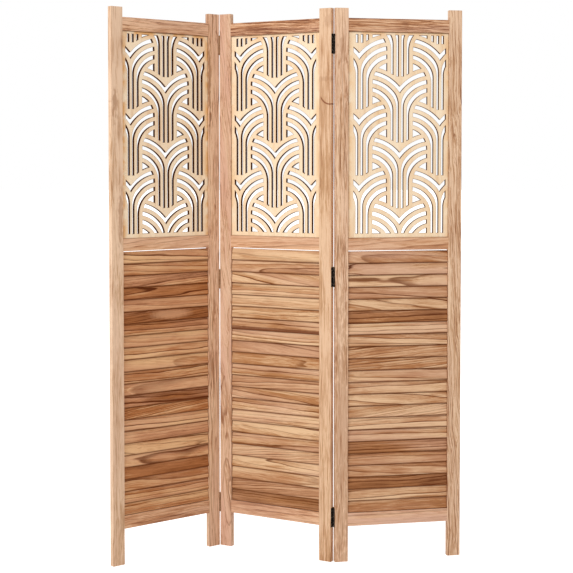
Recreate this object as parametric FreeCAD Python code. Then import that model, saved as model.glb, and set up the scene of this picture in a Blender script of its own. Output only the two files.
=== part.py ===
import FreeCAD, Part

import math
import os

from FreeCAD import Vector

# Three-panel folding screen. Each panel is a wooden frame with a sheet of fretwork above its
# middle rail and a field of fixed louvre slats below it. Butt hinges join the panels.
# Millimetres, +Z up. The origin is on the floor, in the middle of the screen's bounding box.
# A panel's own frame has x from its left edge, y from its front face back and z from the floor.

# Stiles and the panel as a whole
screen_height = 1700.0
panel_width = 403.0
stile_width = 41.5
stile_thickness = 17.0
stile_arris = 1.0

# Rails
horn_height = 30.0
foot_height = 110.0
top_rail_height = 40.0
middle_rail_height = 38.0
bottom_rail_height = 40.0
middle_rail_centre = 980.0
rail_setback = 0.5
rail_arris = 0.8
tenon_length = 22.0
tenon_thickness = 8.0
tenon_shoulder = 8.0
joint_clearance = 0.1

# Fretwork sheet, held in a groove all round
sheet_thickness = 9.0
sheet_tongue = 6.0
end_clearance = 0.3

# Louvre slats, held in sloping slots in the stiles
slat_count = 22
slat_thickness = 5.0
slat_gap = 0.7
slat_overlap = 4.0
slat_tongue = 5.0
slat_arris = 1.2
slat_seat = 0.2
top_slat_height = 37.1
top_slat_gap = 2.2

# Fans of the fretwork. A fan is a trunk of upright slits that bend outward into a crown of
# concentric arcs. Fans stand in columns, and every second column is half a row higher.
fan_column_step = 128.5
fan_row_step = 202.3
fan_reach = 104.0
axis_bar = 8.8
stem_slit = 7.0
stem_bar = 10.0
trunk_bar = 13.0
crown_bar = 13.0
crown_slit = 12.1
crown_dip_fill = 12.4
stem_bend_radius = 59.0
field_side_margin = 13.0
field_top_margin = 9.0
field_bottom_margin = 14.0
lowest_fan_drop = 44.5
least_slit_width = 2.0

# How far each panel's field of fans stands to the right of the panel's middle
left_field_shift = -1.0
middle_field_shift = 0.0
right_field_shift = 3.5

# Butt hinges, their leaves let into the stiles flush with the edges
hinge_height = 60.0
leaf_thickness = 1.3
leaf_cover = 15.4
leaf_gap = 0.8
knuckle_radius = 2.6
knuckle_count = 5
knuckle_gap = 0.3
axis_standoff = 0.4
pin_radius = 1.3
pin_clearance = 0.05
pin_head_radius = 2.1
pin_head_height = 1.2
pin_head_round = 0.8

# Where the hinges of each joint sit: the low one above the floor, the middle one above half the
# screen's height and the high one below the screen's top
left_low_hinge_height = 140.0
left_middle_hinge_rise = 9.0
left_high_hinge_inset = 97.5
right_low_hinge_height = 137.0
right_middle_hinge_rise = 30.0
right_high_hinge_inset = 108.0

# Countersunk screws of the hinges
screws_per_leaf = 3
screw_spacing = 20.0
screw_radius = 1.5
screw_head_radius = 2.8
screw_length = 14.0
screw_point = 4.0
screw_clearance = 0.1
screw_sink = 0.05
recess_length = 3.4
recess_width = 0.8
recess_depth = 0.9

# How the screen stands at rest, in degrees: the middle panel's heading, and how far each side
# panel is folded from lying in line with it
middle_heading = -34.0
left_fold = 69.2
right_fold = 41.9

# How far a cutting tool runs past the wood
overrun = 5.0

# Heights and depths that follow from the sizes above
inner_left = stile_width
inner_right = panel_width - stile_width
inner_span = (inner_left, inner_right)
panel_middle = panel_width / 2
top_rail_top = screen_height - horn_height
top_rail_low = top_rail_top - top_rail_height
middle_rail_top = middle_rail_centre + middle_rail_height / 2
middle_rail_low = middle_rail_centre - middle_rail_height / 2
bottom_rail_top = foot_height + bottom_rail_height
rail_spans = {
    "top_rail": (top_rail_low, top_rail_top),
    "middle_rail": (middle_rail_low, middle_rail_top),
    "bottom_rail": (foot_height, bottom_rail_top),
}
fret_opening = (middle_rail_top, top_rail_low)
field_shifts = {"left": left_field_shift, "middle": middle_field_shift, "right": right_field_shift}
sheet_front = (stile_thickness - sheet_thickness) / 2
sheet_y = (sheet_front, sheet_front + sheet_thickness)
tenon_front = (stile_thickness - tenon_thickness) / 2
tenon_y = (tenon_front, tenon_front + tenon_thickness)

# Hinge pieces about their pin, and where the pins stand in a panel's frame
half_gap = leaf_gap / 2
plate_x = (-half_gap - leaf_thickness, -half_gap)
plate_y = (knuckle_radius + knuckle_gap, axis_standoff + leaf_cover)
knuckle_height = (hinge_height - (knuckle_count - 1) * knuckle_gap) / knuckle_count
screw_top = plate_x[1] - screw_sink
screw_line = (plate_y[0] + plate_y[1]) / 2
screw_head_depth = screw_head_radius - screw_radius
screw_heights = [(index - (screws_per_leaf - 1) / 2) * screw_spacing for index in range(screws_per_leaf)]
pin_x = {"left": -half_gap, "right": panel_width + half_gap}
pin_y = {"front": -axis_standoff, "back": stile_thickness + axis_standoff}
hinge_centres = {
    "left_joint": {
        "bottom": left_low_hinge_height,
        "middle": screen_height / 2 + left_middle_hinge_rise,
        "top": screen_height - left_high_hinge_inset,
    },
    "right_joint": {
        "bottom": right_low_hinge_height,
        "middle": screen_height / 2 + right_middle_hinge_rise,
        "top": screen_height - right_high_hinge_inset,
    },
}


def box(x_span, y_span, z_span):
    """A block between two values on each axis."""
    spans = (x_span, y_span, z_span)
    sizes = [high - low for low, high in spans]
    return Part.makeBox(*sizes, Vector(*[low for low, high in spans]))


def widened(span, amount):
    return (span[0] - amount, span[1] + amount)


def edges_along(shape, direction):
    """The straight edges of a block that run along one axis."""
    return [edge for edge in shape.Edges if round(abs(edge.Curve.Direction.dot(direction)))]


def mirrored(shape):
    return shape.mirror(Vector(), Vector(1, 0, 0))


def outline(path):
    """A flat face inside a path: a start point, then (end,) for a line or (middle, end) for an
    arc. The last point is joined to the first by a line."""
    edges = []
    here = path[0]
    for step in path[1:]:
        if len(step) == 1:
            edges.append(Part.makeLine(here, step[0]))
        else:
            edges.append(Part.Arc(here, step[0], step[1]).toShape())
        here = step[-1]
    edges.append(Part.makeLine(here, path[0]))
    return Part.Face(Part.Wire(edges))


def backwards(path):
    """The same path walked from its end to its start."""
    points = [path[0]] + [step[-1] for step in path[1:]]
    steps = [(*path[index][:-1], points[index - 1]) for index in range(len(path) - 1, 0, -1)]
    return [points[-1]] + steps


# Stiles and rails


def stile():
    """The left stile, with its mortises, the sheet's groove and the slats' slots."""
    wood = box((0, stile_width), (0, stile_thickness), (0, screen_height))
    wood = wood.makeFillet(stile_arris, wood.Edges)
    past_edge = inner_left + overrun
    mortise_x = (inner_left - tenon_length - end_clearance, past_edge)
    mortise_y = widened(tenon_y, joint_clearance)
    cutters = []
    for low, high in rail_spans.values():
        mortise_z = widened((low + tenon_shoulder, high - tenon_shoulder), joint_clearance)
        cutters.append(box(mortise_x, mortise_y, mortise_z))
    groove_x = (inner_left - sheet_tongue - end_clearance, past_edge)
    groove_z = widened(fret_opening, sheet_tongue + end_clearance)
    cutters.append(box(groove_x, widened(sheet_y, joint_clearance), groove_z))
    slot_x = (inner_left - slat_tongue - end_clearance, past_edge)
    return wood.cut(cutters + slat_row(slot_x, joint_clearance).Solids)


def rail(name):
    """A rail with a tenon at each end, grooved where it meets the fretwork sheet."""
    low, high = rail_spans[name]
    body = box(inner_span, widened((0, stile_thickness), -rail_setback), (low, high))
    body = body.makeFillet(rail_arris, edges_along(body, Vector(1, 0, 0)))
    tenon_x = widened(inner_span, tenon_length)
    wood = body.fuse(box(tenon_x, tenon_y, (low + tenon_shoulder, high - tenon_shoulder)))
    groove_z = widened(fret_opening, sheet_tongue + end_clearance)
    groove = box(widened(tenon_x, overrun), widened(sheet_y, joint_clearance), groove_z)
    return wood.cut(groove)


# Louvre slats: each leans back, its lower front edge standing proud of the slat below


slat_low = bottom_rail_top + slat_seat
top_slat_low = middle_rail_low - top_slat_gap - top_slat_height
slat_pitch = (top_slat_low - slat_low) / (slat_count - 1)
slat_tilt = math.asin((slat_thickness + slat_gap) / slat_pitch)
slat_drop = slat_thickness * math.sin(slat_tilt)
slat_width = (slat_pitch + slat_overlap) / math.cos(slat_tilt)
top_slat_width = (top_slat_height - slat_drop) / math.cos(slat_tilt)
slat_depth = slat_width * math.sin(slat_tilt) + slat_thickness * math.cos(slat_tilt)
slat_front = (stile_thickness - slat_depth) / 2


def slat(width, x_span, grow):
    """One slat with its lower front edge at the origin, or the cutter of its slots."""
    size = box(x_span, (-grow, slat_thickness + grow), (-grow, width + grow))
    bar = size.makeFillet(slat_arris, edges_along(size, Vector(1, 0, 0)))
    bar.rotate(Vector(), Vector(1, 0, 0), -math.degrees(slat_tilt))
    return bar


def slat_row(x_span, grow):
    """All the slats of a panel, or the cutters of their slots."""
    bars = []
    for index in range(slat_count):
        width = top_slat_width if index == slat_count - 1 else slat_width
        bar = slat(width, x_span, grow)
        bar.translate(Vector(0, slat_front, slat_low + slat_drop + index * slat_pitch))
        bars.append(bar)
    return Part.makeCompound(bars)


# Fretwork. A fan is drawn about its axis, with the centres of its arcs at z = 0. Its edges are
# circles about the end of its reach, and the stems' edges bend into those circles.


inner_slit_edges = (axis_bar / 2, axis_bar / 2 + stem_slit)
outer_slit_start = inner_slit_edges[1] + stem_bar
outer_slit_edges = (outer_slit_start, outer_slit_start + stem_slit)
trunk_radius = fan_reach - outer_slit_edges[1] - trunk_bar
outer_slit_low = trunk_radius + trunk_bar
outer_slit_radii = (outer_slit_low + crown_slit, outer_slit_low)
inner_slit_low = outer_slit_radii[0] + crown_bar
inner_slit_radii = (inner_slit_low + crown_slit, inner_slit_low)
top_slit_low = inner_slit_radii[0] + crown_bar
top_slit_radii = (top_slit_low + crown_slit, top_slit_low)
crown_radius = top_slit_radii[0] + crown_bar
half_row = fan_row_step / 2


def flat(x, z):
    """A point of the fretwork's drawing."""
    return Vector(x, 0, z)


def arc_step(hub, radius, first, last):
    """A step of a path along a circle, from one direction as seen from its hub to another."""
    halfway = (Vector(first).normalize() + Vector(last).normalize()).normalize()
    return (hub + halfway * radius, hub + Vector(last).normalize() * radius)


def tangent_edge(radius):
    """A bar's edge: up beside the trunk and out along its crown arc, which it meets tangent."""
    hub = flat(fan_reach, 0)
    return [
        flat(fan_reach - radius, -fan_row_step),
        (flat(fan_reach - radius, 0),),
        arc_step(hub, radius, flat(-1, 0), flat(0, 1)),
    ]


def bent_edge(radius, stem):
    """A slit's edge: up a stem nearer the axis, round a bend and out along its crown arc."""
    bend = stem_bend_radius
    rise = math.sqrt((radius - bend) ** 2 - (fan_reach - stem - bend) ** 2)
    hub = flat(fan_reach, 0)
    bend_hub = flat(stem + bend, rise)
    return [
        flat(stem, -fan_row_step),
        (flat(stem, rise),),
        arc_step(bend_hub, bend, flat(-1, 0), bend_hub - hub),
        arc_step(hub, radius, bend_hub - hub, flat(0, 1)),
    ]


def dip_height(radius):
    """How high an edge of the crown dips on the fan's axis."""
    return math.sqrt(radius ** 2 - fan_reach ** 2)


def over_edge(radius):
    """An edge of the crown above its trunk: from its dip out along its arc."""
    hub = flat(fan_reach, 0)
    dip = flat(0, dip_height(radius))
    return [dip, arc_step(hub, radius, dip - hub, flat(0, 1))]


def crown_top():
    """The crown's outer edge, with its dip filled level for the stems that stand there."""
    hub = flat(fan_reach, 0)
    level = dip_height(crown_radius) + crown_dip_fill
    meeting = flat(fan_reach - math.sqrt(crown_radius ** 2 - level ** 2), level)
    return [flat(0, level), (meeting,), arc_step(hub, crown_radius, meeting - hub, flat(0, 1))]


def moved(shape, x, z):
    copy = shape.copy()
    copy.translate(flat(x, z))
    return copy


def band(outer, inner):
    """The slit between two edges that start and end side by side."""
    inward = backwards(inner)
    return outline(outer + [(inward[0],)] + inward[1:])


def ground(edge, corners):
    """A region and its mirror image, for cutting away what another part of a fan covers."""
    half = outline(edge + [(corner,) for corner in corners])
    return [half, mirrored(half)]


def fan_slits():
    """Every opening of one fan, cut back where the fans round it pass over it."""
    low_outside = flat(fan_reach, -fan_row_step)
    low_inside = flat(0, -fan_row_step)
    high_corners = [flat(fan_reach, crown_radius), flat(0, crown_radius), low_inside]
    trunk = ground(tangent_edge(trunk_radius), high_corners)
    crown = ground(crown_top(), [low_outside, low_inside])
    sides = (-fan_column_step, fan_column_step)
    crown_below = [moved(half, 0, -fan_row_step) for half in crown]
    trunks_beside = [moved(half, side, half_row) for half in trunk for side in sides]
    crowns_beside = [moved(half, side, -half_row) for half in crown for side in sides]

    outer_slit = band(
        bent_edge(outer_slit_radii[0], outer_slit_edges[0]),
        tangent_edge(outer_slit_radii[1]),
    )
    inner_slit = band(
        bent_edge(inner_slit_radii[0], inner_slit_edges[0]),
        bent_edge(inner_slit_radii[1], inner_slit_edges[1]),
    )
    top_slit = band(over_edge(top_slit_radii[0]), over_edge(top_slit_radii[1]))
    whole_top_slit = top_slit.fuse(mirrored(top_slit)).removeSplitter()
    eye = outline(tangent_edge(trunk_radius) + [(low_outside,)])

    stems = [outer_slit, inner_slit]
    slits = [whole_top_slit] + stems + [mirrored(stem) for stem in stems]
    cut_slits = [slit.cut(crown_below + trunks_beside) for slit in slits]
    cut_eyes = [opening.cut(crowns_beside + trunks_beside) for opening in (eye, mirrored(eye))]
    return cut_slits + cut_eyes


def rectangle(x_span, z_span):
    return outline([
        flat(x_span[0], z_span[0]),
        (flat(x_span[1], z_span[0]),),
        (flat(x_span[1], z_span[1]),),
        (flat(x_span[0], z_span[1]),),
    ])


def fretwork_slits():
    """Every opening of a field of fans that stands in the middle of its panel."""
    field_x = widened(inner_span, -field_side_margin)
    field_z = (middle_rail_top + field_bottom_margin, top_rail_low - field_top_margin)
    field = rectangle(field_x, field_z)
    openings = fan_slits()
    columns = math.ceil((field_x[1] - panel_middle) / fan_column_step)
    rows = math.ceil((field_z[1] - field_z[0]) / fan_row_step) + 2
    slits = []
    for column in range(-columns, columns + 1):
        lift = half_row if column % 2 else 0
        for row in range(-1, rows):
            axis = panel_middle + column * fan_column_step
            height = field_z[0] - lowest_fan_drop + lift + row * fan_row_step
            for opening in openings:
                clipped = moved(opening, axis, height).common(field)
                slits += [face for face in clipped.Faces if 2 * face.Area > least_slit_width * face.Length]
    return slits


def fretwork(slits, shift):
    """The sheet with its field of fans cut through it, in its panel's frame."""
    blank = rectangle(widened(inner_span, sheet_tongue), widened(fret_opening, sheet_tongue))
    sheet = blank.cut([moved(slit, shift, 0) for slit in slits])
    solid = sheet.Faces[0].extrude(Vector(0, sheet_thickness, 0))
    solid.translate(Vector(0, sheet_front, 0))
    return solid


# Hinges. Their pieces are drawn about the pin, with the middle of the hinge at z = 0, for a
# panel that lies to the pin's left and has the pin before its front.


def leaf(first_knuckle):
    """A leaf for a panel's edge, with every second knuckle from the one given."""
    plate = box(plate_x, plate_y, (-hinge_height / 2, hinge_height / 2))
    knuckles = []
    for index in range(first_knuckle, knuckle_count, 2):
        low = index * (knuckle_height + knuckle_gap) - hinge_height / 2
        knuckles.append(Part.makeCylinder(knuckle_radius, knuckle_height, Vector(0, 0, low)))
        knuckles.append(box(plate_x, (0, plate_y[0]), (low, low + knuckle_height)))
    bore_length = hinge_height + 2 * overrun
    bore = Part.makeCylinder(pin_radius + pin_clearance, bore_length, Vector(0, 0, -bore_length / 2))
    return plate.fuse(knuckles).cut([bore] + [screw_hole(height) for height in screw_heights])


def leaf_seat():
    """The cutter of a leaf's seat in a stile's edge, hollowed round the knuckles and pin heads."""
    seat_z = widened((-hinge_height / 2, hinge_height / 2), joint_clearance)
    seat = box((plate_x[0], overrun), (0, plate_y[1] + joint_clearance), seat_z)
    hollow_height = hinge_height + 2 * (pin_head_height + knuckle_gap)
    hollow_low = Vector(0, 0, -hollow_height / 2)
    return seat.fuse(Part.makeCylinder(knuckle_radius + knuckle_gap, hollow_height, hollow_low))


def pin():
    """The hinge pin, with a rounded head over each end of the knuckles."""
    shank = Part.makeCylinder(pin_radius, hinge_height, Vector(0, 0, -hinge_height / 2))
    head = Part.makeCylinder(pin_head_radius, pin_head_height, Vector(0, 0, hinge_height / 2))
    rim = [edge for edge in head.Edges if edge.BoundBox.ZMin > hinge_height / 2]
    upper = head.makeFillet(pin_head_round, rim)
    return shank.fuse([upper, upper.mirror(Vector(), Vector(0, 0, 1))])


def screw_body(height, grow):
    """Head, shank and point of a screw in the panel's edge, or the cutter of its hole."""
    inward = Vector(-1, 0, 0)
    top = Vector(screw_top, screw_line, height)
    radius = screw_radius + grow
    shank_length = screw_length - screw_point + grow
    head = Part.makeCone(screw_head_radius + grow, radius, screw_head_depth, top, inward)
    shank = Part.makeCylinder(radius, shank_length, top, inward)
    point = Part.makeCone(radius, 0, screw_point, top + inward * shank_length, inward)
    return head.fuse([shank, point])


def screw_hole(height):
    mouth = Vector(screw_top, screw_line, height)
    wide = Part.makeCylinder(screw_head_radius + screw_clearance, overrun, mouth, Vector(1, 0, 0))
    return screw_body(height, screw_clearance).fuse(wide)


def screw(height):
    """A countersunk screw with a cross recess."""
    recess_x = (screw_top - recess_depth, screw_top + overrun)
    long_span = (-recess_length / 2, recess_length / 2)
    short_span = (-recess_width / 2, recess_width / 2)
    slots = [box(recess_x, long_span, short_span), box(recess_x, short_span, long_span)]
    for slot in slots:
        slot.translate(Vector(0, screw_line, height))
    return screw_body(height, 0).cut(slots)


def hung(shape, edge, face, height):
    """A hinge piece put at one edge of a panel, in that panel's frame."""
    piece = shape.copy()
    if edge == "left":
        piece = mirrored(piece)
    if face == "back":
        piece = piece.mirror(Vector(), Vector(0, 1, 0))
    piece.translate(Vector(pin_x[edge], pin_y[face], height))
    return piece


# Each hinged edge: its joint, which leaf it carries, its panel, the edge, the face that the pin
# stands at, and the leaf's first knuckle
hinged_edges = [
    ("left_joint", "side", "left", "right", "front", 1),
    ("left_joint", "middle", "middle", "left", "front", 0),
    ("right_joint", "middle", "middle", "right", "back", 0),
    ("right_joint", "side", "right", "left", "back", 1),
]

# Every piece under its name, in its panel's frame
panels = ("left", "middle", "right")
pieces = {panel: {} for panel in panels}
left_stile = stile()
right_stile = left_stile.mirror(Vector(panel_middle, 0, 0), Vector(1, 0, 0))
slits = fretwork_slits()
slats = slat_row(widened(inner_span, slat_tongue), 0)
for panel in panels:
    own = pieces[panel]
    own[f"{panel}_panel_left_stile"] = left_stile
    own[f"{panel}_panel_right_stile"] = right_stile
    for name in rail_spans:
        own[f"{panel}_panel_{name}"] = rail(name)
    own[f"{panel}_panel_fretwork"] = fretwork(slits, field_shifts[panel])
    own[f"{panel}_panel_slats"] = slats

for joint, role, panel, edge, face, first_knuckle in hinged_edges:
    own = pieces[panel]
    holes = []
    screws = []
    for place, centre in hinge_centres[joint].items():
        own[f"{joint}_{place}_hinge_{role}_leaf"] = hung(leaf(first_knuckle), edge, face, centre)
        if role == "middle":
            own[f"{joint}_{place}_hinge_pin"] = hung(pin(), edge, face, centre)
        holes.append(hung(leaf_seat(), edge, face, centre))
        holes += [hung(screw_hole(height), edge, face, centre) for height in screw_heights]
        screws += [hung(screw(height), edge, face, centre) for height in screw_heights]
    own[f"{joint}_{role}_screws"] = Part.makeCompound(screws)
    drilled = f"{panel}_panel_{edge}_stile"
    own[drilled] = own[drilled].cut(holes)

# The panels stand on the floor in a zigzag: each side panel is turned about the hinge pins that
# it shares with the middle one


def turned(x, y, heading):
    angle = math.radians(heading)
    return Vector(x * math.cos(angle) - y * math.sin(angle), x * math.sin(angle) + y * math.cos(angle))


headings = {
    "left": middle_heading + left_fold,
    "middle": middle_heading,
    "right": middle_heading + right_fold,
}
corners = {"middle": Vector()}
joint_axes = {}
for joint, panel, edge, other_edge, face in (
    ("left_joint", "left", "right", "left", "front"),
    ("right_joint", "right", "left", "right", "back"),
):
    joint_axes[joint] = turned(pin_x[other_edge], pin_y[face], middle_heading)
    corners[panel] = joint_axes[joint] - turned(pin_x[edge], pin_y[face], headings[panel])

standing = {}
for panel in panels:
    placement = FreeCAD.Placement(corners[panel], FreeCAD.Rotation(Vector(0, 0, 1), headings[panel]))
    for name, piece in pieces[panel].items():
        standing[name] = piece.copy()
        standing[name].Placement = placement.multiply(piece.Placement)

floor_middle = Part.makeCompound(list(standing.values())).BoundBox.Center
floor_middle.z = 0
os.makedirs("parts", exist_ok=True)
for name, piece in standing.items():
    piece.translate(-floor_middle)
    piece.exportStep(f"parts/{name}.step")
    print(name, len(piece.Solids), "solids, volume", round(piece.Volume), "valid", piece.isValid())

print("middle panel's front left corner on the floor", -floor_middle)
for joint, axis in joint_axes.items():
    print(joint, "axis", axis - floor_middle)
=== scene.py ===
import math

import bmesh
import bpy
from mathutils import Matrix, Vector


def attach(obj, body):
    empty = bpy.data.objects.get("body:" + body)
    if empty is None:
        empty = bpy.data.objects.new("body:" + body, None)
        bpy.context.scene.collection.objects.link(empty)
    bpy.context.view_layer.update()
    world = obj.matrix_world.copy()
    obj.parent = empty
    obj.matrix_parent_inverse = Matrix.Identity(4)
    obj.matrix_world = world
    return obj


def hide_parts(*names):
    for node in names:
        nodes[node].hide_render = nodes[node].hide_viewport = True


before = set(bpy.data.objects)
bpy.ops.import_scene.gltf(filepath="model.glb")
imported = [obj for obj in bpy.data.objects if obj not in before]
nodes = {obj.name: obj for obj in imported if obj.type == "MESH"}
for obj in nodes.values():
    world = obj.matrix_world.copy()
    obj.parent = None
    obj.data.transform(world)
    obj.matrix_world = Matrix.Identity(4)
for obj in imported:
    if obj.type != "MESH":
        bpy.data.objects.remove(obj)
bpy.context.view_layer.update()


# Stiles. Six posts of light, fast-grown wood, planed and rounded a little along every edge. Their
# grain runs upright. Each stands from the floor to a horn above the top rail.

panels = ("left", "middle", "right")
panel_heading = {
    "left": math.radians(35.2),
    "middle": math.radians(-34.0),
    "right": math.radians(7.9),
}
panel_along = {panel: Vector((math.cos(turn), math.sin(turn), 0)) for panel, turn in panel_heading.items()}
panel_back = {panel: Vector((-math.sin(turn), math.cos(turn), 0)) for panel, turn in panel_heading.items()}


def span_of(node, direction):
    """The least and the most that a node reaches along a direction."""
    reaches = [vertex.co.dot(direction) for vertex in nodes[node].data.vertices]
    return min(reaches), max(reaches)


def panel_corner(panel):
    """The panel's front left corner on the floor."""
    stile = f"{panel}_panel_left_stile"
    sideways = panel_along[panel] * span_of(stile, panel_along[panel])[0]
    return sideways + panel_back[panel] * span_of(stile, panel_back[panel])[0]


def paint(red, green, blue):
    """A colour as seen on a screen, from 0 to 255, as a shader wants it."""
    shares = [value / 255 for value in (red, green, blue)]
    linear = [share / 12.92 if share < 0.04045 else ((share + 0.055) / 1.055) ** 2.4 for share in shares]
    return (*linear, 1)


def add(tree, kind, inputs, **settings):
    """A node with its settings and its inputs. An input is a value or another node's socket."""
    node = tree.nodes.new("ShaderNode" + kind)
    for name, value in settings.items():
        setattr(node, name, value)
    for key, value in inputs.items():
        if isinstance(value, bpy.types.NodeSocket):
            tree.links.new(value, node.inputs[key])
        else:
            node.inputs[key].default_value = value
    return node


def calc(tree, operation, *values):
    """One step of arithmetic on values or sockets."""
    return add(tree, "Math", dict(enumerate(values)), operation=operation).outputs[0]


def cloud(tree, place, cells, layers, sharpness=0.5):
    """A noise from 0 to 1: its cells to a metre on each axis, its finer layers and how strong
    these are."""
    scaled = add(tree, "VectorMath", {0: place, 1: cells}, operation="MULTIPLY").outputs[0]
    inputs = {"Vector": scaled, "Scale": 1.0, "Detail": layers, "Roughness": sharpness}
    return add(tree, "TexNoise", inputs).outputs


def centred(tree, value):
    """A noise about 0 in place of a half."""
    return calc(tree, "SUBTRACT", value, 0.5)


def length(tree, first, second):
    """How far a point lies from the origin of two axes."""
    squares = [calc(tree, "MULTIPLY", side, side) for side in (first, second)]
    return calc(tree, "SQRT", calc(tree, "ADD", *squares))


def ramp(tree, value, low, high, floor=0.0, top=1.0):
    """A smooth step from floor to top while the value goes from low to high."""
    inputs = {"Value": value, "From Min": low, "From Max": high, "To Min": floor, "To Max": top}
    return add(tree, "MapRange", inputs, interpolation_type="SMOOTHSTEP").outputs["Result"]


def blend_colours(tree, share, first, second):
    """The first colour at a share of 0, the second at 1."""
    return add(tree, "Mix", {0: share, 6: first, 7: second}, data_type="RGBA").outputs[2]


def new_group(name, inputs, outputs):
    """An empty node group with its sockets, and the nodes that hold them."""
    tree = bpy.data.node_groups.new(name, "ShaderNodeTree")
    for label, kind in inputs.items():
        tree.interface.new_socket(label, in_out="INPUT", socket_type="NodeSocket" + kind)
    for label, kind in outputs.items():
        tree.interface.new_socket(label, in_out="OUTPUT", socket_type="NodeSocket" + kind)
    return tree, tree.nodes.new("NodeGroupInput").outputs, tree.nodes.new("NodeGroupOutput").inputs


# The wood's noises: cells to a metre along the grain, across it and through the board, finer layers
# and, where it isn't a half, how strong these are
wave_noise = ((4, 20, 20), 2)
ripple_noise = ((14, 90, 90), 1)
streak_noise = ((3, 150, 150), 3, 0.6)
fibre_noise = ((9, 420, 420), 3, 0.75)
fine_line_noise = ((24, 1400, 1400), 2, 0.6)
patch_noise = ((6, 22, 22), 3)
blush_noise = ((2.5, 26, 26), 2)
pore_noise = ((60, 2600, 2600), 1)
# Where in a year's growth, from 0 to 1, the late wood and its dark line lie
late_wood_span = (0.15, 0.95)
dark_line_span = (0.76, 0.95)
year_end_span = (0.95, 1.0)
# How far each noise reaches before it shows
pore_span = (0.66, 0.74)
vein_span = (0.6, 0.74)
blush_span = (0.35, 0.6)
# How far a seed moves the noises on each axis, and how far it moves the years
seed_shift = (3.17, 5.71, 1.93)
year_shift = 7.3
# How strong each effect is
ripple_share = 0.16
season_pace = 0.7
season_swing = 1.1
streak_share = 2.2
fibre_share = 5.5
blotch_share = 3.4
late_wood_share = 0.36
faint_line_share = 0.25
lucky_line_share = 0.8
plain_patch_share = 0.4
patchy_line_share = 1.2
overflow_share = 0.6
vein_share = 0.3
fine_line_share = 0.25
fine_line_middle = 0.45
pore_share = 0.18
least_roughness = 0.5
dark_roughness = 0.15
fine_line_relief = 0.4
dark_line_relief = 0.6


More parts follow.
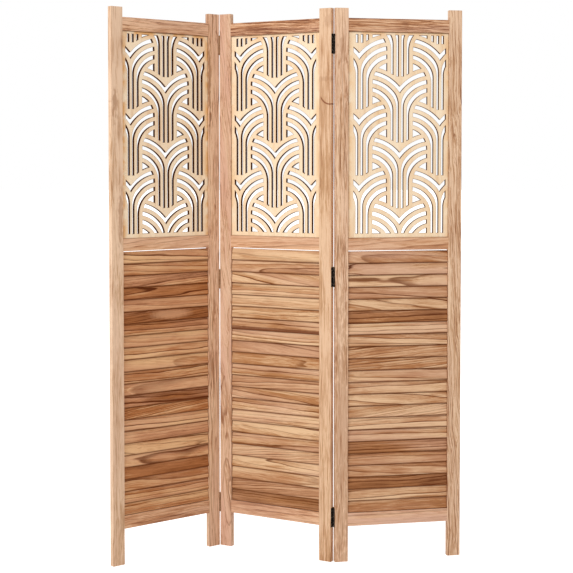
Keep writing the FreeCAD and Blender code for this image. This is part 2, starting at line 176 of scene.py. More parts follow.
def make_timber():
    """Sawn wood as rings about a pith beside the board, so every face shows the right figure.
    Place is (along the grain, across it, through the board) in metres."""
    numbers = ("Seed", "Pith Across", "Pith Depth", "Drift", "Lean", "Ring Width", "Waviness",
               "Figure", "Bands", "Streaks", "Blotches", "Flush", "Tone")
    inputs = {"Place": "Vector", **{name: "Float" for name in numbers}}
    inputs.update({"Pale": "Color", "Warm": "Color", "Dark": "Color", "Rose": "Color"})
    tree, given, result = new_group(
        "timber", inputs, {"Color": "Color", "Roughness": "Float", "Height": "Float"}
    )
    place = given["Place"]
    shift = add(tree, "CombineXYZ", {
        axis: calc(tree, "MULTIPLY", given["Seed"], share) for axis, share in enumerate(seed_shift)
    }).outputs[0]
    own = add(tree, "VectorMath", {0: place, 1: shift}, operation="ADD").outputs[0]
    axes = add(tree, "SeparateXYZ", {0: place}).outputs

    wave = add(tree, "SeparateXYZ", {0: cloud(tree, own, *wave_noise)["Color"]}).outputs
    ripple = cloud(tree, own, *ripple_noise)["Fac"]
    sway = calc(tree, "MULTIPLY", centred(tree, wave[0]), given["Waviness"])
    heave = calc(tree, "MULTIPLY", centred(tree, wave[1]), given["Waviness"])
    ripple_reach = calc(tree, "MULTIPLY", given["Waviness"], ripple_share)
    twitch = calc(tree, "MULTIPLY", centred(tree, ripple), ripple_reach)
    across = calc(tree, "SUBTRACT", axes[1], given["Pith Across"])
    across = calc(tree, "MULTIPLY_ADD", axes[0], given["Drift"], across)
    across = calc(tree, "ADD", calc(tree, "ADD", across, sway), twitch)
    depth = calc(tree, "SUBTRACT", axes[2], given["Pith Depth"])
    depth = calc(tree, "MULTIPLY_ADD", axes[0], given["Lean"], depth)
    depth = calc(tree, "ADD", depth, heave)
    radius = length(tree, across, depth)

    rings = calc(tree, "DIVIDE", radius, given["Ring Width"])
    pace = calc(tree, "ADD", calc(tree, "MULTIPLY", rings, season_pace), given["Seed"])
    seasons = {"W": pace, "Scale": 1.0, "Detail": 1.0}
    season = add(tree, "TexNoise", seasons, noise_dimensions="1D").outputs["Fac"]
    rings = calc(tree, "MULTIPLY_ADD", season, season_swing, rings)
    growth = calc(tree, "FRACT", rings)
    fading = ramp(tree, growth, *year_end_span, 1, 0)
    late = calc(tree, "MULTIPLY", ramp(tree, growth, *late_wood_span), fading)
    line = calc(tree, "MULTIPLY", ramp(tree, growth, *dark_line_span), fading)
    year = calc(tree, "MULTIPLY_ADD", given["Seed"], year_shift, calc(tree, "FLOOR", rings))
    luck = add(tree, "TexWhiteNoise", {"W": year}, noise_dimensions="1D").outputs["Color"]
    luck = add(tree, "SeparateColor", {0: luck}).outputs

    flow = add(tree, "CombineXYZ", {0: axes[0], 1: across, 2: depth}).outputs[0]
    grain = add(tree, "VectorMath", {0: flow, 1: shift}, operation="ADD").outputs[0]
    coarse = cloud(tree, grain, *streak_noise)["Fac"]
    fibre = cloud(tree, grain, *fibre_noise)["Fac"]
    fine = cloud(tree, grain, *fine_line_noise)["Fac"]
    patches = cloud(tree, own, *patch_noise)["Fac"]
    blush = cloud(tree, grain, *blush_noise)["Fac"]
    pores = ramp(tree, cloud(tree, own, *pore_noise)["Fac"], *pore_span)

    streak = calc(tree, "MULTIPLY", centred(tree, coarse), streak_share)
    streak = calc(tree, "MULTIPLY_ADD", centred(tree, fibre), fibre_share, streak)
    shade = calc(tree, "MULTIPLY_ADD", streak, given["Streaks"], given["Tone"])
    blotch = calc(tree, "MULTIPLY", centred(tree, patches), blotch_share)
    shade = calc(tree, "MULTIPLY_ADD", blotch, given["Blotches"], shade)
    shade = calc(tree, "MULTIPLY_ADD", centred(tree, luck[0]), given["Bands"], shade)
    late = calc(tree, "MULTIPLY", late, given["Figure"])
    shade = calc(tree, "MULTIPLY_ADD", late, late_wood_share, shade)

    chance = calc(tree, "MULTIPLY_ADD", luck[1], lucky_line_share, faint_line_share)
    weight = calc(tree, "MULTIPLY", given["Figure"], chance)
    patchy = calc(tree, "MULTIPLY_ADD", patches, patchy_line_share, plain_patch_share)
    weight = calc(tree, "MULTIPLY", weight, patchy)
    darkness = calc(tree, "MULTIPLY", line, weight)
    excess = calc(tree, "MAXIMUM", calc(tree, "SUBTRACT", shade, 1), 0)
    darkness = calc(tree, "MULTIPLY_ADD", excess, overflow_share, darkness)
    vein = calc(tree, "MULTIPLY", ramp(tree, coarse, *vein_span), given["Streaks"])
    darkness = calc(tree, "MULTIPLY_ADD", vein, vein_share, darkness)
    thread = calc(tree, "SUBTRACT", fine, fine_line_middle)
    darkness = calc(tree, "MULTIPLY_ADD", thread, fine_line_share, darkness)
    darkness = calc(tree, "MULTIPLY_ADD", pores, pore_share, darkness)
    darkness = add(tree, "Clamp", {0: darkness}).outputs[0]

    warmth = add(tree, "Clamp", {0: shade}).outputs[0]
    ground = blend_colours(tree, warmth, given["Pale"], given["Warm"])
    flush = calc(tree, "MULTIPLY", ramp(tree, blush, *blush_span), given["Flush"])
    ground = blend_colours(tree, flush, ground, given["Rose"])
    tree.links.new(blend_colours(tree, darkness, ground, given["Dark"]), result["Color"])
    rough = calc(tree, "MULTIPLY_ADD", darkness, dark_roughness, least_roughness)
    tree.links.new(rough, result["Roughness"])
    hollow = calc(tree, "MULTIPLY", darkness, dark_line_relief)
    height = calc(tree, "SUBTRACT", calc(tree, "MULTIPLY", fine, fine_line_relief), hollow)
    tree.links.new(height, result["Height"])
    return tree


timber = make_timber()


def panel_place(tree, panel):
    """A point of a panel's piece in the panel's own frame: x from its left edge, y from its front
    face back and z up."""
    here = add(tree, "TexCoord", {}).outputs["Object"]
    corner = tuple(panel_corner(panel))
    moved = add(tree, "VectorMath", {0: here, 1: corner}, operation="SUBTRACT").outputs[0]
    turn = {"Vector": moved, "Angle": -panel_heading[panel]}
    return add(tree, "VectorRotate", turn, rotation_type="Z_AXIS").outputs[0]


def new_material(name):
    """A material with its nodes and its shader."""
    material = bpy.data.materials.new(name)
    material.use_nodes = True
    return material, material.node_tree, material.node_tree.nodes["Principled BSDF"]


wood_shine = 0.25
relief_strength = 0.5
board_relief = 0.0004


def finish_wood(tree, shader, wood, relief):
    """Joins a timber group to the shader, with the pores and rings standing in slight relief."""
    tree.links.new(wood["Color"], shader.inputs["Base Color"])
    tree.links.new(wood["Roughness"], shader.inputs["Roughness"])
    shader.inputs["Specular IOR Level"].default_value = wood_shine
    bump = add(tree, "Bump", {"Strength": relief_strength, "Distance": relief, "Height": wood["Height"]})
    tree.links.new(bump.outputs["Normal"], shader.inputs["Normal"])


def timber_material(name, panel, order, look):
    """A board of a panel. The order picks which panel axes run along, across and through it."""
    material, tree, shader = new_material(name)
    axes = add(tree, "SeparateXYZ", {0: panel_place(tree, panel)}).outputs
    place = add(tree, "CombineXYZ", {slot: axes[axis] for slot, axis in enumerate(order)}).outputs[0]
    wood = add(tree, "Group", {}, node_tree=timber)
    tree.links.new(place, wood.inputs["Place"])
    for label, value in look.items():
        wood.inputs[label].default_value = value
    finish_wood(tree, shader, wood.outputs, board_relief)
    return material


def dress(node, material):
    """Gives a node of the frame its finish."""
    slots = nodes[node].data.materials
    slots.clear()
    slots.append(material)


def near(tree, value, line, reach):
    """1 where a value meets a line, fading to 0 at the reach."""
    distance = calc(tree, "ABSOLUTE", calc(tree, "SUBTRACT", value, line))
    return ramp(tree, distance, 0, reach, 1, 0)


def lay_over(tree, shader, share, colour):
    """Lays a colour over what the shader has, as strong as the share."""
    under = shader.inputs["Base Color"].links[0].from_socket
    tree.links.new(blend_colours(tree, share, under, colour), shader.inputs["Base Color"])


ragged_noise = ((130, 45, 40), 4)
oval_edge = (0.35, 1.0)
stile_raggedness = 2.6


def ragged_oval(tree, across, up, spot, size, ragged):
    """A soft oval mask about a spot of a face, with a ragged edge."""
    sides = [
        calc(tree, "DIVIDE", calc(tree, "SUBTRACT", value, middle), reach)
        for value, middle, reach in zip((across, up), spot, size)
    ]
    distance = length(tree, *sides)
    where = add(tree, "CombineXYZ", {0: across, 1: up, 2: spot[0] + spot[1]}).outputs[0]
    fringe = centred(tree, cloud(tree, where, *ragged_noise)["Fac"])
    return ramp(tree, calc(tree, "MULTIPLY_ADD", fringe, ragged, distance), *oval_edge, 1, 0)


def shades(pale, warm, dark, rose):
    """The four colours of a piece's wood."""
    return {"Pale": paint(*pale), "Warm": paint(*warm), "Dark": paint(*dark), "Rose": paint(*rose)}


upright = (2, 0, 1)
stile_grain = {"Pith Depth": 0.09, "Lean": 0.0, "Ring Width": 0.008}
stile_looks = {
    ("left", "left"): {
        "Seed": 1.3, "Pith Across": -0.16, "Drift": 0.004, "Waviness": 0.02, "Figure": 0.2,
        "Bands": 0.15, "Streaks": 1.2, "Blotches": 1.5, "Flush": 0.3, "Tone": 0.28,
        **shades((238, 204, 172), (204, 162, 124), (140, 92, 56), (226, 188, 160)),
    },
    ("left", "right"): {
        "Seed": 2.9, "Pith Across": 0.3, "Drift": 0.012, "Waviness": 0.03, "Figure": 0.8,
        "Bands": 0.6, "Streaks": 1.7, "Blotches": 1.0, "Flush": 0.5, "Tone": 0.12,
        **shades((240, 202, 166), (206, 152, 112), (128, 80, 46), (222, 178, 150)),
    },
    ("middle", "left"): {
        "Seed": 4.1, "Pith Across": 0.06, "Drift": 0.12, "Waviness": 0.035, "Figure": 0.65,
        "Bands": 0.5, "Streaks": 1.4, "Blotches": 0.8, "Flush": 0.6, "Tone": 0.22,
        **shades((226, 188, 156), (190, 142, 104), (134, 80, 46), (216, 168, 144)),
    },
    ("middle", "right"): {
        "Seed": 5.7, "Pith Across": 0.42, "Drift": 0.008, "Waviness": 0.02, "Figure": 0.3,
        "Bands": 0.35, "Streaks": 1.2, "Blotches": 1.1, "Flush": 0.1, "Tone": 0.25,
        **shades((230, 192, 156), (196, 150, 108), (142, 90, 52), (220, 176, 150)),
    },
    ("right", "left"): {
        "Seed": 6.2, "Pith Across": -0.05, "Drift": 0.015, "Waviness": 0.025, "Figure": 0.6,
        "Bands": 0.4, "Streaks": 1.5, "Blotches": 0.8, "Flush": 0.25, "Tone": 0.17,
        **shades((240, 202, 168), (196, 146, 106), (118, 72, 40), (212, 166, 140)),
    },
    ("right", "right"): {
        "Seed": 7.8, "Pith Across": 0.2, "Drift": 0.055, "Waviness": 0.03, "Figure": 1.1,
        "Bands": 0.5, "Streaks": 1.4, "Blotches": 0.9, "Flush": 0.15, "Tone": 0.25,
        **shades((236, 200, 166), (198, 152, 112), (132, 74, 38), (220, 176, 150)),
    },
}
stile_brown = paint(156, 106, 68)
# Each mark's middle and reach on the panel, across and up, and its strength. The wide ones
# low on four stiles make them darker towards the bottom.
stile_marks = {
    ("left", "left"): [
        ((0.0125, 1.407), (0.014, 0.05), 0.6), ((0.0315, 1.06), (0.01, 0.12), 0.5),
        ((0.02, 0.35), (0.07, 0.6), 0.12),
    ],
    ("left", "right"): [
        ((0.3665, 1.5), (0.007, 0.15), 0.75), ((0.3915, 1.2), (0.006, 0.1), 0.4),
        ((0.385, 0.35), (0.07, 0.6), 0.1),
    ],
    ("middle", "right"): [((0.3915, 1.663), (0.014, 0.04), 0.3), ((0.3795, 1.485), (0.04, 0.01), 0.3)],
    ("right", "left"): [((0.0215, 1.58), (0.016, 0.05), 0.35), ((0.02, 0.35), (0.07, 0.6), 0.36)],
    ("right", "right"): [((0.3815, 0.35), (0.07, 0.6), 0.15)],
}
# On one stile the grain curls below a knot at its edge
curled_stile = ("middle", "right")
knot_centre = (0.3985, 1.441)
knot_radius = 0.0325
curl_width = 0.004
curl_fade = (knot_centre[1] - 0.016, knot_centre[1] - 0.006)
curl_brown = paint(128, 66, 26)
for (panel, side), look in stile_looks.items():
    node = f"{panel}_panel_{side}_stile"
    material = timber_material(node, panel, upright, {**stile_grain, **look})
    tree = material.node_tree
    shader = tree.nodes["Principled BSDF"]
    axes = add(tree, "SeparateXYZ", {0: panel_place(tree, panel)}).outputs
    for spot, size, share in stile_marks.get((panel, side), []):
        mask = ragged_oval(tree, axes[0], axes[2], spot, size, stile_raggedness)
        lay_over(tree, shader, calc(tree, "MULTIPLY", mask, share), stile_brown)
    if (panel, side) == curled_stile:
        flat = add(tree, "CombineXYZ", {0: axes[0], 2: axes[2]}).outputs[0]
        middle = (knot_centre[0], 0.0, knot_centre[1])
        distance = add(tree, "VectorMath", {0: flat, 1: middle}, operation="DISTANCE").outputs["Value"]
        below = ramp(tree, axes[2], *curl_fade, 1, 0)
        curl = calc(tree, "MULTIPLY", near(tree, distance, knot_radius, curl_width), below)
        lay_over(tree, shader, curl, curl_brown)
    dress(node, material)


# Rails. Three boards of the same wood for each panel, tenoned into the stiles, with the grain
# along them. They are a little darker than the stiles, the top ones with the boldest streaks.

lengthwise = (0, 2, 1)
rail_colours = shades((234, 190, 152), (194, 136, 94), (118, 66, 38), (220, 176, 150))
rail_grain = {
    "Pith Depth": 0.07, "Lean": 0.03, "Ring Width": 0.008, "Waviness": 0.016, "Bands": 0.5,
    "Blotches": 0.4, "Flush": 0.35,
}
rail_looks = {
    "top_rail": {"Pith Across": 1.75, "Drift": 0.008, "Figure": 1.1, "Streaks": 1.6, "Blotches": 0.9},
    "middle_rail": {"Pith Across": 0.94, "Drift": -0.02, "Figure": 0.6, "Streaks": 0.7},
    "bottom_rail": {"Pith Across": 0.05, "Drift": 0.01, "Figure": 0.5, "Streaks": 0.9, "Blotches": 0.8},
}
rail_tones = {
    "top_rail": {"left": 0.05, "middle": 1.1, "right": 0.93},
    "middle_rail": {"left": 0.2, "middle": 0.38, "right": 0.62},
    "bottom_rail": {"left": 0.78, "middle": 0.62, "right": 0.4},
}
rosy_rail = "right_panel_bottom_rail"
rail_seed = 11.0
rail_seed_step = 2.3
for number, panel in enumerate(panels):
    for kind, look in rail_looks.items():
        node = f"{panel}_panel_{kind}"
        tone = rail_tones[kind][panel]
        seed = rail_seed + rail_seed_step * number + tone
        board_look = {**rail_grain, **look, **rail_colours, "Tone": tone, "Seed": seed}
        if node == rosy_rail:
            board_look["Flush"] = 1.0
        dress(node, timber_material(node, panel, lengthwise, board_look))


# Fretwork boards. Thin pale boards, cut through by laser, so every cut wall is burnt dark brown
# and smoke has browned the faces for a millimetre or two beside it. They stand in grooves.

upward = Vector((0, 0, 1))
halo_width = 0.0017
weld_distance = 1e-6
# The least that a board's face looks to the front or back, and the most that a cut wall does
facing_share = 0.9
wall_share = 0.5
crease_angle = math.radians(30)


def fretwork_board(panel):
    """The board of a panel, with a strip beside each cut that carries how burnt it is."""
    node = nodes[f"{panel}_panel_fretwork"]
    along, back = panel_along[panel], panel_back[panel]
    mesh = bmesh.new()
    mesh.from_mesh(node.data)
    bmesh.ops.remove_doubles(mesh, verts=mesh.verts, dist=weld_distance)
    mesh.normal_update()
    spots = [(vertex.co.dot(along), vertex.co.z) for vertex in mesh.verts]
    lows = [min(spot[axis] for spot in spots) for axis in (0, 1)]
    highs = [max(spot[axis] for spot in spots) for axis in (0, 1)]
    for facing in (-1, 1):
        faces = [face for face in mesh.faces if face.normal.dot(back) * facing > facing_share]
        bmesh.ops.inset_region(
            mesh, faces=faces, thickness=halo_width, use_boundary=True, use_even_offset=True
        )
    burn = mesh.verts.layers.float.new("burn")
    for face in mesh.faces:
        if abs(face.normal.dot(back)) > wall_share:
            continue
        for vertex in face.verts:
            spot = (vertex.co.dot(along), vertex.co.z)
            margins = [min(value - low, high - value) for low, value, high in zip(lows, spot, highs)]
            vertex[burn] = 1.0 if min(margins) > halo_width else 0.0
    board_mesh = bpy.data.meshes.new(f"{panel}_fretwork_board")
    mesh.to_mesh(board_mesh)
    mesh.free()
    for polygon in board_mesh.polygons:
        polygon.use_smooth = True
    board_mesh.set_sharp_from_angle(angle=crease_angle)
    board = bpy.data.objects.new(f"{panel}_fretwork_board", board_mesh)
    bpy.context.scene.collection.objects.link(board)
    return board


board_colours = shades((252, 231, 200), (240, 203, 157), (184, 128, 80), (244, 212, 180))
burnt_wall = paint(78, 34, 6)
smoke = paint(122, 70, 26)
# Painted shade: a dark brown drawn along the board's edges where it enters the grooves of the stiles and
# rails
groove_shade = paint(106, 64, 34)
board_grain = {
    "Pith Depth": 0.3, "Lean": 0.02, "Ring Width": 0.02, "Waviness": 0.05, "Figure": 0.2,
    "Bands": 0.2, "Streaks": 0.2, "Blotches": 0.7, "Flush": 0.3, "Pith Across": 0.1, "Drift": 0.03,
}
rim_scorch = paint(228, 164, 90)
# For each panel: the seed of its figure, its tone and how scorched its rim is
board_looks = {"left": (21.4, 0.1, 0.9), "middle": (23.9, 0.22, 0.35), "right": (26.2, 0.34, 0.45)}
rim_reach = 0.022
top_rim_reach = 0.03
side_groove_reach = 0.003
low_groove_reach = 0.0025
top_groove_reach = 0.006
groove_share = 0.85
scorch_noise = ((22, 22, 22), 3)
scorch_span = (0.35, 0.6)
smoke_span = (0.15, 0.95)
smoke_share = 0.9
burnt_span = (0.9, 0.995)
board_shine = 0.0


def strongest(tree, shares):
    """The greatest of several masks."""
    most = shares[0]
    for share in shares[1:]:
        most = calc(tree, "MAXIMUM", most, share)
    return most


def opening_sides(panel):
    """How far from the panel's left edge the opening between its stiles begins and ends."""
    along = panel_along[panel]
    corner = panel_corner(panel).dot(along)
    left_edge = span_of(f"{panel}_panel_left_stile", along)[1] - corner
    right_edge = span_of(f"{panel}_panel_right_stile", along)[0] - corner
    return left_edge, right_edge


for panel, (seed, tone, rim) in board_looks.items():
    board = fretwork_board(panel)
    look = {**board_grain, **board_colours, "Seed": seed, "Tone": tone}
    material = timber_material(f"{panel}_fretwork_board", panel, upright, look)
    tree = material.node_tree
    shader = tree.nodes["Principled BSDF"]
    place = panel_place(tree, panel)
    axes = add(tree, "SeparateXYZ", {0: place}).outputs
    left_edge, right_edge = opening_sides(panel)
    low_edge = span_of(f"{panel}_panel_middle_rail", upward)[1]
    high_edge = span_of(f"{panel}_panel_top_rail", upward)[0]
    rims = [near(tree, axes[0], edge, rim_reach) for edge in (left_edge, right_edge)]
    rims.append(near(tree, axes[2], high_edge, top_rim_reach))
    patches = ramp(tree, cloud(tree, place, *scorch_noise)["Fac"], *scorch_span)
    scorch = calc(tree, "MULTIPLY", strongest(tree, rims), patches)
    lay_over(tree, shader, calc(tree, "MULTIPLY", scorch, rim), rim_scorch)
    # Painted shade in a thin strip where the board goes into the grooves, widest under the top rail
    grooves = [near(tree, axes[0], edge, side_groove_reach) for edge in (left_edge, right_edge)]
    grooves.append(near(tree, axes[2], low_edge, low_groove_reach))
    grooves.append(near(tree, axes[2], high_edge, top_groove_reach))
    groove_shade_share = calc(tree, "MULTIPLY", strongest(tree, grooves), groove_share)
    lay_over(tree, shader, groove_shade_share, groove_shade)
    burnt = add(tree, "Attribute", {}, attribute_name="burn").outputs["Fac"]
    lay_over(tree, shader, ramp(tree, burnt, *smoke_span, 0, smoke_share), smoke)
    lay_over(tree, shader, ramp(tree, burnt, *burnt_span), burnt_wall)
    shader.inputs["Specular IOR Level"].default_value = board_shine
    board.data.materials.append(material)
    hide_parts(f"{panel}_panel_fretwork")
    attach(board, f"{panel}_panel")


# Louvre slats. Thin boards in sloping slots in the stiles, scorched before they were fitted, so
# they run from pale to deep brown, with bold dark rings. Each overlaps the one below it.

slat_low = 0.1502
slat_pitch = 0.036738
slat_thickness = 0.005
slat_gap = 0.0007
slat_front = 0.00283
slat_tilt = math.asin((slat_thickness + slat_gap) / slat_pitch)
# What share of a slat's step the line between two numbers stands clear of its faces
slat_clearance = 0.06
# The shade of each slat from the bottom up: pale, medium, warm, deep or brown
slat_tones = {
    "left": "MMWDMPMPWBMMPPPWBMDWMP",
    "middle": "BDPPPWPPMMWMWDMWMPMMWP",
    "right": "WPBWWDMPMMPMWWMPDMWPPM",
}
tone_share = {"P": 0.12, "M": 0.42, "W": 0.72, "D": 1.05, "B": 1.5}


def make_slat_finder():
    """Which slat a point of a panel lies on, counted from the bottom, and where on that slat."""
    tree, given, result = new_group(
        "slat_finder", {"Place": "Vector"}, {"Number": "Float", "Place": "Vector"}
    )
    axes = add(tree, "SeparateXYZ", {0: given["Place"]}).outputs
    back = calc(tree, "SUBTRACT", axes[1], slat_front)
    up = calc(tree, "SUBTRACT", axes[2], slat_low)
    slope = calc(tree, "MULTIPLY_ADD", up, -math.tan(slat_tilt), back)
    step = slat_pitch * math.tan(slat_tilt)
    start = slat_thickness / math.cos(slat_tilt) / step + slat_clearance
    number = calc(tree, "FLOOR", calc(tree, "MULTIPLY_ADD", slope, -1 / step, start))
    rise = calc(tree, "MULTIPLY_ADD", number, -slat_pitch, up)
    cosine, sine = math.cos(slat_tilt), math.sin(slat_tilt)
    across = calc(tree, "MULTIPLY_ADD", back, sine, calc(tree, "MULTIPLY", rise, cosine))
    through = calc(tree, "MULTIPLY_ADD", rise, -sine, calc(tree, "MULTIPLY", back, cosine))
    tree.links.new(number, result["Number"])
    place = add(tree, "CombineXYZ", {0: axes[0], 1: across, 2: through}).outputs[0]
    tree.links.new(place, result["Place"])
    return tree


slat_finder = make_slat_finder()
slat_colours = {
    "left": shades((232, 186, 138), (182, 116, 68), (98, 46, 16), (218, 164, 128)),
    "middle": shades((234, 196, 154), (182, 126, 80), (106, 54, 20), (224, 180, 150)),
    "right": shades((230, 190, 150), (178, 120, 76), (98, 48, 20), (216, 170, 144)),
}
slat_grain = {"Waviness": 0.016, "Figure": 1.05, "Bands": 0.55, "Streaks": 0.5, "Blotches": 0.5}
# Between what values each slat's own grain is drawn
slat_draws = {
    "Pith Across": (0, -0.01, 0.15), "Flush": (2, 0.0, 0.55), "Ring Width": (1, 0.006, 0.016),
    "Pith Depth": (1, 0.012, 0.062), "Lean": (2, -0.045, 0.045),
}
slat_drift = 1.2
slat_seed = 32.0
slat_seed_step = 1.37
panel_seed_step = 9.1
slat_relief = 0.0005
slat_shine = 0.08
lap_shadow = paint(104, 48, 8)
lap_reach = 0.005
slot_reach = 0.0025
lip_share = 0.8
shadow_share = 0.85
# A mark's slat, its middle and reach on that slat, its strength and its colour
slat_marks = {
    "left": [(16, (0.2195, 0.021), (0.1, 0.02), 0.75, paint(210, 156, 116))],
    "middle": [(15, (0.2015, 0.0), (5.0, 0.014), 0.9, paint(118, 68, 42))],
}
mark_raggedness = 0.3
for count, panel in enumerate(panels):
    material, tree, shader = new_material(f"{panel}_slats")
    finder = add(tree, "Group", {}, node_tree=slat_finder)
    tree.links.new(panel_place(tree, panel), finder.inputs["Place"])
    number = finder.outputs["Number"]
    seed = calc(tree, "MULTIPLY_ADD", number, slat_seed_step, slat_seed + panel_seed_step * count)
    chance = add(tree, "TexWhiteNoise", {"W": seed}, noise_dimensions="1D").outputs["Color"]
    chances = add(tree, "SeparateColor", {0: chance}).outputs
    tones = slat_tones[panel]
    shelf = add(tree, "ValToRGB", {0: calc(tree, "DIVIDE", calc(tree, "ADD", number, 0.5), len(tones))})
    shelf.color_ramp.interpolation = "CONSTANT"
    for index, letter in enumerate(tones):
        if index > 1:
            shelf.color_ramp.elements.new(index / len(tones))
        stop = shelf.color_ramp.elements[index]
        stop.position = index / len(tones)
        stop.color = (tone_share[letter],) * 3 + (1,)
    wood = add(tree, "Group", {}, node_tree=timber)
    tree.links.new(finder.outputs["Place"], wood.inputs["Place"])
    tree.links.new(seed, wood.inputs["Seed"])
    tree.links.new(shelf.outputs["Color"], wood.inputs["Tone"])
    for label, (which, least, most) in slat_draws.items():
        drawn = calc(tree, "MULTIPLY_ADD", chances[which], most - least, least)
        tree.links.new(drawn, wood.inputs[label])
    slant = centred(tree, chances[1])
    slant = calc(tree, "MULTIPLY", calc(tree, "MULTIPLY", slant, slant), slant)
    tree.links.new(calc(tree, "MULTIPLY", slant, slat_drift), wood.inputs["Drift"])
    for label, value in {**slat_grain, **slat_colours[panel]}.items():
        wood.inputs[label].default_value = value
    finish_wood(tree, shader, wood.outputs, slat_relief)
    shader.inputs["Specular IOR Level"].default_value = slat_shine
    on_slat = add(tree, "SeparateXYZ", {0: finder.outputs["Place"]}).outputs
    for which, spot, size, share, colour in slat_marks.get(panel, []):
        same = calc(tree, "COMPARE", number, float(which), 0.5)
        mask = ragged_oval(tree, on_slat[0], on_slat[1], spot, size, mark_raggedness)
        mask = calc(tree, "MULTIPLY", mask, same)
        lay_over(tree, shader, calc(tree, "MULTIPLY", mask, share), colour)
    top_slat = len(tones) - 1
    covered = calc(tree, "LESS_THAN", number, top_slat - 0.5)
    lap = near(tree, on_slat[1], slat_pitch / math.cos(slat_tilt), lap_reach)
    lap = calc(tree, "MULTIPLY", lap, covered)
    lip = calc(tree, "MULTIPLY", near(tree, on_slat[1], 0.0, lap_reach), lip_share)
    ends = [near(tree, on_slat[0], edge, slot_reach) for edge in opening_sides(panel)]
    shadow = calc(tree, "MULTIPLY", strongest(tree, [lap, lip, *ends]), shadow_share)
    lay_over(tree, shader, shadow, lap_shadow)
    dress(f"{panel}_panel_slats", material)


# Hinges. Butt hinges of pressed steel in dark bronze lacquer: two leaves with rolled knuckles,
# and a pin with rounded heads. The lacquer is rubbed through in short upright scratches, whose
# pale colour is partly real wear and partly painted highlight.

rub_noise = ((160, 160, 160), 3)
scratch_noise = ((900, 900, 220), 2)
speck_noise = ((1800, 1800, 1800), 2)
# Where the noises show at no wear and glint, and how far their full amount lowers that
rub_span = (0.55, 0.7)
rub_gain = 0.4
scratch_span = (0.62, 0.7)
scratch_gain = 0.3
lacquer_shine = 0.3
lacquer_metal = 0.2
bare_metal = 0.6
speck_height = 0.0001
speck_strength = 0.25
rough_span = (0.2, 0.8)
smoother = 0.08
rougher = 0.12


def lacquer_material(name, colour, worn_and_glint, wear_and_glint, roughness):
    """Lacquered steel. Wear and glint, from 0 to 1, sets how much is rubbed pale, partly real wear and
    partly painted highlight.
    """
    material, tree, shader = new_material(name)
    here = add(tree, "TexCoord", {}).outputs["Object"]
    blotch = cloud(tree, here, *rub_noise)["Fac"]
    scratch = cloud(tree, here, *scratch_noise)["Fac"]
    speck = cloud(tree, here, *speck_noise)["Fac"]
    scratches_and_glints = ramp(tree, scratch, *[edge - scratch_gain * wear_and_glint for edge in scratch_span])
    patchy = ramp(tree, blotch, *[edge - rub_gain * wear_and_glint for edge in rub_span])
    wear_and_glint_mask = calc(tree, "MULTIPLY", scratches_and_glints, patchy)
    # Partly worn lacquer and partly painted highlight: the pale colour in the scratches and rubbed patches
    tree.links.new(blend_colours(tree, wear_and_glint_mask, colour, worn_and_glint), shader.inputs["Base Color"])
    rough = ramp(tree, blotch, *rough_span, roughness - smoother, roughness + rougher)
    tree.links.new(rough, shader.inputs["Roughness"])
    shader.inputs["Specular IOR Level"].default_value = lacquer_shine
    metal = calc(tree, "MULTIPLY_ADD", wear_and_glint_mask, bare_metal, lacquer_metal)
    tree.links.new(metal, shader.inputs["Metallic"])
    bump = add(tree, "Bump", {"Strength": speck_strength, "Distance": speck_height, "Height": speck})
    tree.links.new(bump.outputs["Normal"], shader.inputs["Normal"])
    return material


# Each joint's lacquer, the pale colour of its rubbed spots and painted highlights, how much of both it
# has, and its roughness
# Painted light: one dark bronze lacquer, drawn browner and lighter at the left joint as a lit copy and
# near black at the right joint as a shaded copy
hinge_lacquers_lit_and_shaded = {
    "left": (paint(126, 86, 54), paint(164, 128, 92), 0.5, 0.45),
    "right": (paint(20, 12, 7), paint(120, 106, 94), 0.4, 0.38),
}
for side, look in hinge_lacquers_lit_and_shaded.items():
    lacquer = lacquer_material(f"{side}_hinge_lacquer_painted_light", *look)
    for node in nodes:
        if node.startswith(f"{side}_joint") and node.endswith(("_leaf", "_pin")):
            dress(node, lacquer)


# Screws. Countersunk steel screws with a cross recess, lacquered like the hinges, three through
# each leaf into the stile's edge.

# Partly bare steel and partly painted highlight: most of the screws' lacquer is drawn rubbed to a pale
# grey
screw_lacquer_and_glint = lacquer_material("screw_lacquer_and_glint", paint(52, 44, 36), paint(170, 158, 144), 0.8, 0.34)
for node in nodes:
    if node.endswith("_screws"):
        dress(node, screw_lacquer_and_glint)


# Floor, light and camera. A plain white studio floor that runs out of sight and takes a soft
# shadow, even light from all round, and a large soft lamp to the front left.

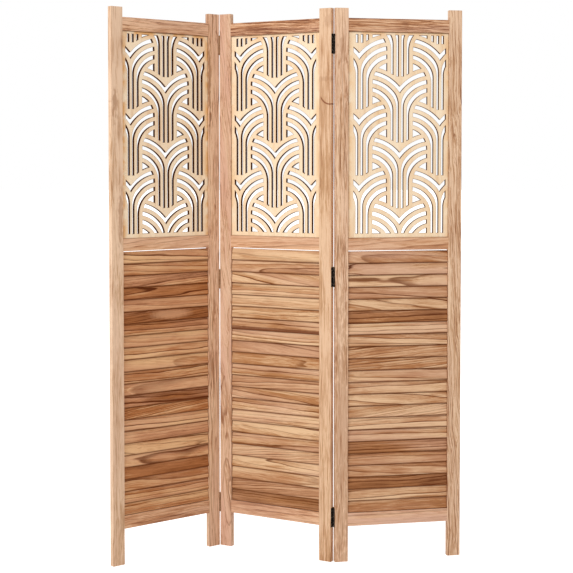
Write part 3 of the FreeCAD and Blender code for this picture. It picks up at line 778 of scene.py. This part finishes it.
floor_reach = 60.0
floor_white = (0.86, 0.86, 0.86, 1)
floor_roughness = 0.9
floor_shine = 0.0
floor_glow = 0.7
studio_white = (1, 1, 1, 1)
room_light = 0.8
floor_mesh = bpy.data.meshes.new("floor")
floor_mesh.from_pydata(
    [(x * floor_reach, y * floor_reach, 0) for x, y in ((-1, -1), (1, -1), (1, 1), (-1, 1))],
    [], [(0, 1, 2, 3)],
)
floor = bpy.data.objects.new("floor", floor_mesh)
bpy.context.scene.collection.objects.link(floor)
material, tree, shader = new_material("studio_floor")
shader.inputs["Base Color"].default_value = floor_white
shader.inputs["Roughness"].default_value = floor_roughness
shader.inputs["Specular IOR Level"].default_value = floor_shine


def seen_rays(tree):
    """1 for rays from the camera and for those that metal reflects, 0 for the rest."""
    path = add(tree, "LightPath", {}).outputs
    seen = calc(tree, "MAXIMUM", path["Is Camera Ray"], path["Is Glossy Ray"])
    return calc(tree, "MAXIMUM", seen, path["Is Transmission Ray"])


shader.inputs["Emission Color"].default_value = studio_white
tree.links.new(calc(tree, "MULTIPLY", seen_rays(tree), floor_glow), shader.inputs["Emission Strength"])
floor_mesh.materials.append(material)

world = bpy.data.worlds.new("studio")
bpy.context.scene.world = world
world.use_nodes = True
tree = world.node_tree
background = tree.nodes["Background"]
background.inputs["Color"].default_value = studio_white
tree.links.new(ramp(tree, seen_rays(tree), 0, 1, room_light, 1.0), background.inputs["Strength"])

lamp_place = Vector((-3.2, -3.4, 2.6))
lamp_aim = Vector((0, 0, 0.9))
lamp_side = 2.4
lamp_watts = 88.0
lamp_data = bpy.data.lights.new("key", "AREA")
lamp_data.shape = "RECTANGLE"
lamp_data.size = lamp_side
lamp_data.size_y = lamp_side
lamp_data.energy = lamp_watts
lamp = bpy.data.objects.new("key", lamp_data)
lamp.location = lamp_place
lamp.rotation_euler = (lamp_aim - lamp_place).to_track_quat("-Z", "Y").to_euler()
bpy.context.scene.collection.objects.link(lamp)

camera_place = (-0.3017, -4.44589, 1.22963)
camera_dip = math.radians(2.3257)
camera_turn = math.radians(-3.9196)
lens_length = 89.61
film_width = 36.0
film_shift = -0.11474
camera_data = bpy.data.cameras.new("camera")
camera_data.lens = lens_length
camera_data.sensor_width = film_width
camera_data.shift_y = film_shift
camera = bpy.data.objects.new("camera", camera_data)
camera.location = camera_place
camera.rotation_euler = (math.pi / 2 - camera_dip, 0, camera_turn)
bpy.context.scene.collection.objects.link(camera)
bpy.context.scene.camera = camera
bpy.context.scene.view_settings.view_transform = "Standard"
